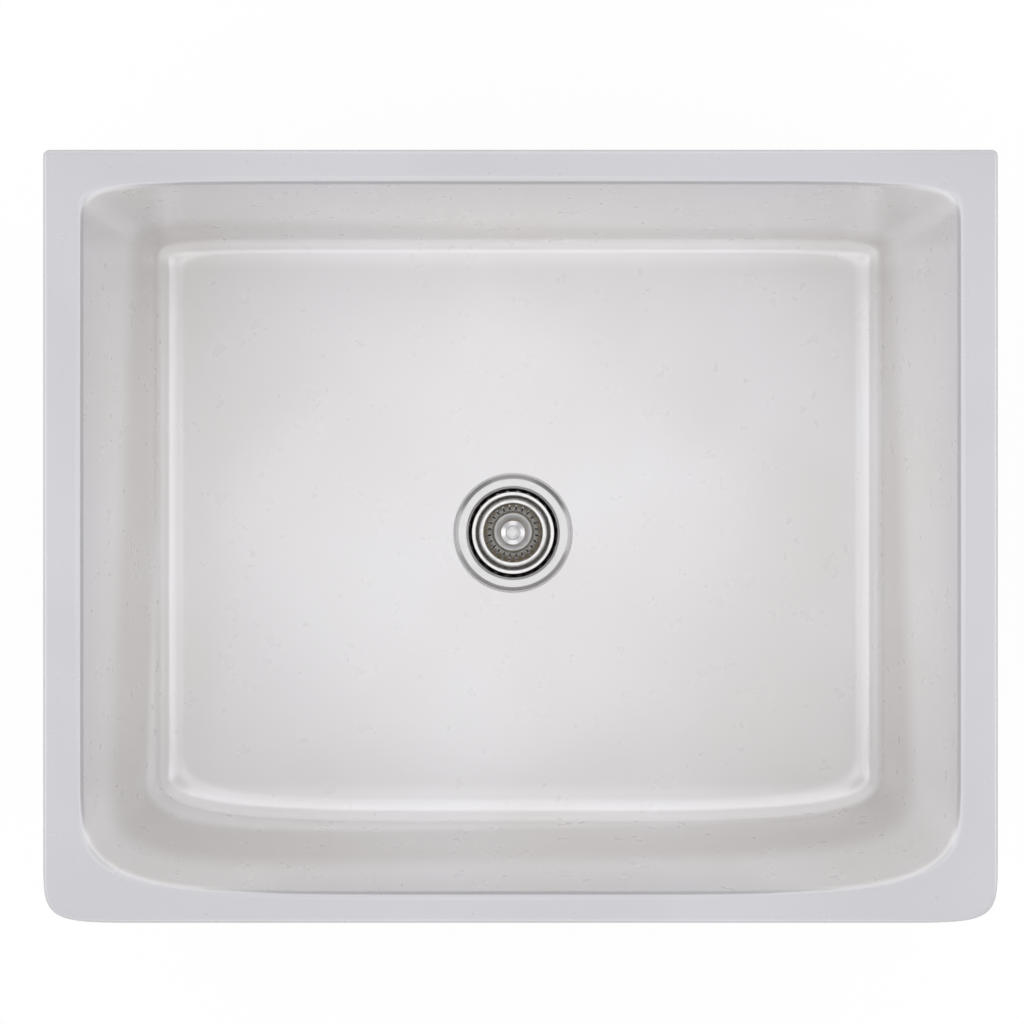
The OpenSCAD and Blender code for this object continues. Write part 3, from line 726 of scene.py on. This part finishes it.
# Basket
basket = {
    "lip": 40.2, "lipWidth": 3.8, "top": 21.0, "bottom": -21.0, "ledge": 13.8, "ledgeWidth": 3.4,
    "wallTop": 28.6, "bottomR": 19.5, "seal": 25.5, "sheet": 0.8,
    "slots": 24, "slotWidth": 1.4, "slotTurn": 7.5, "slotLow": -16.5, "slotHigh": 10.0,
    "seam": 0.30, "glintWidth": 0.40, "blendWidth": 0.9,      # columns of the mesh beside each slot
}


def makeBasket():
    s = basket
    edge = s["wallTop"] + s["ledgeWidth"]
    path = [(6.6, s["bottom"]), (s["bottomR"] - 0.6, s["bottom"], 1.2),
            (s["bottomR"] + 0.9, s["bottom"] + 1.4, 1.2), (s["wallTop"], s["ledge"] - 0.9, 0.9),
            (s["wallTop"] + 0.7, s["ledge"], 0.9), (edge - 0.3, s["ledge"], 0.8),
            (edge + 0.7, s["ledge"] + 0.7, 0.8), (s["lip"] - s["lipWidth"], s["top"] - 0.5, 0.8),
            (s["lip"] - s["lipWidth"] + 0.6, s["top"], 0.8), (s["lip"] - 0.7, s["top"], 0.8),
            (s["lip"], s["top"] - 0.7, 0.8), (s["lip"], s["top"] - 2.4)]
    path = eased(path, 0.8, closed=False)
    rows = []                             # even rows down the slotted wall, the given points elsewhere
    lowR, lowZ = s["bottomR"] + 0.9, s["bottom"] + 1.4
    slope = (s["wallTop"] - lowR) / (s["ledge"] - 0.9 - lowZ)
    placed = False
    for r, z in path:
        if lowZ + 1.6 < z < s["ledge"] - 2.6 and r < edge:
            continue
        if z >= s["ledge"] - 2.6 and not placed:
            cap = [s["slotWidth"] / 2 * (1 - math.cos(math.radians(a))) for a in (0, 12, 25, 40, 60, 90)]
            heights = [s["slotLow"] + c for c in cap]
            heights += list(np.linspace(s["slotLow"] + 2, s["slotHigh"] - 2, 8))
            heights += [s["slotHigh"] - c for c in reversed(cap)]
            rows += [(lowR + (h - lowZ) * slope, h) for h in heights]
            placed = True
        rows.append((r, z))
    sector = 2 * math.pi / s["slots"]
    half = s["slotWidth"] / 2
    points, faces, edgeSet = [], [], set()
    for r, z in rows:
        inSlot = s["slotLow"] - 1e-6 <= z <= s["slotHigh"] + 1e-6
        width = s["seam"]
        if inSlot:
            near = min(z - s["slotLow"], s["slotHigh"] - z)
            width = max(math.sqrt(max(half * half - max(half - near, 0.0) ** 2, 0.0)), 0.12)
        w = min(width / r, sector * 0.2)
        for k in range(s["slots"]):
            middle = k * sector + math.radians(s["slotTurn"])
            near = min(s["glintWidth"] / r, sector * 0.12)
            far = min(s["blendWidth"] / r, sector * 0.25)
            for local in (-w, w, w + near, w + far, sector / 2, sector - w - far, sector - w - near):
                angle = middle + local
                points.append((outlet[0] + r * math.cos(angle), outlet[1] + r * math.sin(angle), z))
    perRow = 7 * s["slots"]
    for j in range(len(rows) - 1):
        between = rows[j][1] >= s["slotLow"] - 1e-6 and rows[j + 1][1] <= s["slotHigh"] + 1e-6
        slotRow = between and rows[j][0] < edge
        for i in range(perRow):
            if slotRow and i % 7 == 0:
                continue
            k = (i + 1) % perRow
            faces.append((j * perRow + i, j * perRow + k, (j + 1) * perRow + k, (j + 1) * perRow + i))
        if slotRow:
            for i in range(perRow):
                if i % 7 in (0, 1):
                    edgeSet.update((j * perRow + i, (j + 1) * perRow + i))
    mesh = meshFrom("basketShell", points, faces, 50.0)
    # painted highlight: the slots' edge vertices carry the pale glint
    glintLayer = mesh.attributes.new("rubbed", "FLOAT", "POINT")
    for i in edgeSet:
        glintLayer.data[i].value = 1.0
    shell = addObject("basketShell", mesh, basketSteel, "basket", ["basket_cup"])
    solid = shell.modifiers.new("sheet", "SOLIDIFY")
    solid.thickness = s["sheet"] / 1000
    solid.offset = -1.0
    solid.use_even_offset = True
    return shell


def makeBasketFittings():
    bush = [(4.1, -31.0), (6.5, -31.0), (6.5, -21.0), (9.0, -21.0), (9.0, -19.4), (7.4, -19.4), (7.4, -14.8),
            (6.6, -14.0), (4.1, -14.0)]
    lathe("bushTurned", bush, brass, "basket", "brass", ["basket_bush"], steps=96)
    r = basket["seal"]
    seal = [(6.6, -25.0), (19.0, -25.0), (19.6, -24.6), (21.0, -24.6), (21.6, -25.0), (r - 0.5, -25.0, 0.5),
            (r, -24.2, 0.5), (r, -22.6, 0.6), (r - 0.9, -21.8, 0.5), (6.6, -21.8)]
    lathe("sealDisc", seal, rubber, "basket", "rubber", ["basket_seal"], steps=144)
    plate = [(6.6, -26.0), (16.2, -26.0, 0.6), (17.0, -25.4, 0.4), (17.0, -25.0), (6.6, -25.0)]
    lathe("retainerPlate", plate, dullSteel, "basket", "steel", ["seal_retainer"], steps=96, radius=0.2)
    flat = 9.4 * math.cos(math.pi / 6)
    nut = [(6.6, -30.0), (8.3, -30.0), (9.3, -29.4), (9.3, -26.6), (8.4, -26.0), (6.6, -26.0)]
    dense = []
    smooth = eased(nut, 0.2)
    for i, (r, z) in enumerate(smooth):
        nextR, nextZ = smooth[(i + 1) % len(smooth)]
        dense += [(r + (nextR - r) * k / 4, z + (nextZ - z) * k / 4) for k in range(4)]
    shape = spun(dense, 144, sides=6, flat=flat, flatRange=(-30.1, -25.9, 7.5))
    addShape("bushNutHex", shape, brass, "basket", ["bush_nut"], 30.0)


makeBasket()
makeBasketFittings()
print("basket made")

# Knob and post
knob = {"radius": 12.0, "top": 11.4, "dome": 1.1, "cap": 6.5}


def makeKnob():
    s = knob
    high = s["top"] + s["dome"]
    r = s["radius"]
    disc = [(5.5, 1.4, 0.2), (7.0, 1.4, 0.4), (7.0, 8.4, 1.0), (r - 1.6, 9.0, 0.8), (r - 0.4, 9.5, 0.5),
            (r, 10.1, 0.5), (r, 10.8, 0.5), (r - 0.6, 11.4, 0.7), (s["cap"] + 0.75, high, 0.35),
            (s["cap"] + 0.3, high - 0.9, 0.1), (0.0, high - 0.9)]
    disc += [(0.0, 8.4), (5.5, 8.4, 0.1)]
    addShape("knobDisc", spun(eased(disc, 0.3), 160), knobSteel, "knob_post", ["knob"])
    cap = [(0.0, high - 0.9), (s["cap"] - 0.1, high - 0.9, 0.1), (s["cap"], high, 0.2),
           (s["cap"] - 0.5, high + 0.4, 0.5), (s["cap"] / 2, high + 0.7, 2.0), (0.0, high + 0.75)]
    lathe("knobCap", cap, steel, "knob_post", "steel", ["knob_cap"], steps=128)
    post = [(0.0, -50.0), (3.4, -50.0, 0.3), (4.0, -49.4, 0.3), (4.0, -40.65), (3.4, -40.65), (3.4, -38.35),
            (4.0, -38.35), (4.0, -32.0, 0.1), (3.4, -32.0, 0.1), (3.4, -31.0, 0.1), (4.0, -31.0, 0.1),
            (4.0, -13.95, 0.1), (5.4, -13.95, 0.5), (5.4, 8.4, 0.3), (0.0, 8.4)]
    lathe("postRod", post, dullSteel, "knob_post", "steel", ["basket_post"], steps=96, radius=0.2)
    turns = np.linspace(0, 2 * math.pi, 25)[:-1]
    ring = [(4.5 + 1.05 * math.cos(a), -39.5 + 1.05 * math.sin(a)) for a in turns]
    addShape("gripRing", spun(ring, 96), rubber, "knob_post", ["post_grip_ring"], 60.0)


makeKnob()
print("knob made")

# Small rings kept from the frame
kept = {"flange_seal": rubber, "friction_ring": fibre, "tailpiece_washer": whitePlastic,
        "post_clip": dullSteel}
for nodeName, material in kept.items():
    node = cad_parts[nodeName]
    for slotItem in node.material_slots:
        slotItem.material = material
print("kept nodes dressed")

# Floor, light
studio = {
    "floorZ": -0.1525, "floorSize": 40.0, "floorGlow": 0.9,
    "floorColours": ((0.86, 0.86, 0.86, 1), (0.9, 0.9, 0.9, 1)),
    "lampPlace": (-0.09, -0.035, 2.2), "lampSide": 0.90, "lampLevel": 0.58, "lampTurn": 45.0,
    "skyHeights": (0.0, 0.18, 0.30, 0.45, 0.65, 0.85, 0.95),
    "sky": {                              # the light from each side at these heights
        "left": (0.3, 0.3, 2.1, 2.0, 1.7, 1.7, 0.95), "right": (0.3, 0.3, 2.1, 2.2, 1.8, 1.5, 0.95),
        "front": (0.3, 0.3, 1.7, 1.6, 1.4, 1.4, 0.95), "rear": (0.3, 0.3, 1.8, 1.8, 1.4, 1.4, 0.95),
        "frontLeft": (0.3, 0.3, 1.6, 1.6, 0.8, 0.8, 0.95), "frontRight": (0.3, 0.3, 1.0, 1.0, 0.8, 0.8, 0.95),
        "rearLeft": (0.3, 0.3, 1.4, 1.4, 0.6, 0.6, 0.95), "rearRight": (0.3, 0.3, 1.2, 1.2, 0.5, 0.5, 0.95),
    },
    "blue": 1.03, "cornerFade": (0.32, 0.52),
}


def makeFloor():
    mesh = bpy.data.meshes.new("studioFloor")
    r = studio["floorSize"]
    mesh.from_pydata([(-r, -r, studio["floorZ"]), (r, -r, studio["floorZ"]), (r, r, studio["floorZ"]),
                      (-r, r, studio["floorZ"])], [], [(0, 1, 2, 3)])
    floor = bpy.data.objects.new("studioFloor", mesh)
    scene.collection.objects.link(floor)
    material, g = newMaterial("paleFloor")
    mottle = g.noise(g.place(), 3.0, 2.0)
    base = g.mix(mottle, *studio["floorColours"])
    shader = g.node("ShaderNodeBsdfPrincipled", {}, {"Base Color": base, "Roughness": 0.9})
    glow = g.node("ShaderNodeEmission", {}, {"Strength": 1.0})
    path = g.node("ShaderNodeLightPath")
    sockets = path.socket.node.outputs
    seen = Wire(g, sockets["Is Camera Ray"]) + Wire(g, sockets["Is Glossy Ray"])
    seen = seen + Wire(g, sockets["Is Transmission Ray"])
    share = g.sum("MINIMUM", seen, 1.0) * studio["floorGlow"]
    both = g.node("ShaderNodeMixShader", {}, {0: share, 1: shader, 2: glow})
    g.node("ShaderNodeOutputMaterial", {}, {0: both})
    mesh.materials.append(material)


def makeSky():                            # light from eight directions round the sink, each by height
    world = bpy.data.worlds.new("studioSky")
    scene.world = world
    world.use_nodes = True
    g = Graph(world.node_tree)
    x, y, z = g.parts(g.node("ShaderNodeTexCoord", {}, {}, out=0))
    full = 4.0                            # the level that a ramp's colour of 1 stands for
    ramps = {}
    for name, levels in studio["sky"].items():
        stops = [(height, (level / full, level / full, level / full * studio["blue"]))
                 for height, level in zip(studio["skyHeights"], levels)]
        ramps[name] = g.node("ShaderNodeValToRGB", {"stops": stops}, {0: z})
    across, along = g.sum("ABSOLUTE", x), g.sum("ABSOLUTE", y)
    slant = g.sum("MINIMUM", across, along) / (g.sum("MAXIMUM", across, along) + 0.001)
    corner = g.fade(slant, *studio["cornerFade"])
    right = g.sum("GREATER_THAN", x, 0.0)
    rear = g.sum("GREATER_THAN", y, 0.0)
    ends = g.mix(rear, ramps["front"], ramps["rear"])
    sides = g.mix(g.sum("GREATER_THAN", across, along), ends, g.mix(right, ramps["left"], ramps["right"]))
    corners = g.mix(rear, g.mix(right, ramps["frontLeft"], ramps["frontRight"]),
                    g.mix(right, ramps["rearLeft"], ramps["rearRight"]))
    colour = g.mix(corner, sides, corners)
    background = g.node("ShaderNodeBackground", {}, {"Color": colour, "Strength": full})
    g.node("ShaderNodeOutputWorld", {}, {0: background})


def makeLamp():                           # a square panel overhead, each corner towards one side of the sink
    light = bpy.data.lights.new("overheadPanel", "AREA")
    light.shape = "SQUARE"
    light.size = studio["lampSide"]
    light.energy = studio["lampLevel"] * math.pi * studio["lampSide"] ** 2
    lamp = bpy.data.objects.new("overheadPanel", light)
    lamp.location = studio["lampPlace"]
    lamp.rotation_euler.z = math.radians(studio["lampTurn"])
    lamp.visible_camera = False
    scene.collection.objects.link(lamp)


makeFloor()
makeSky()
makeLamp()
print("studio lit")
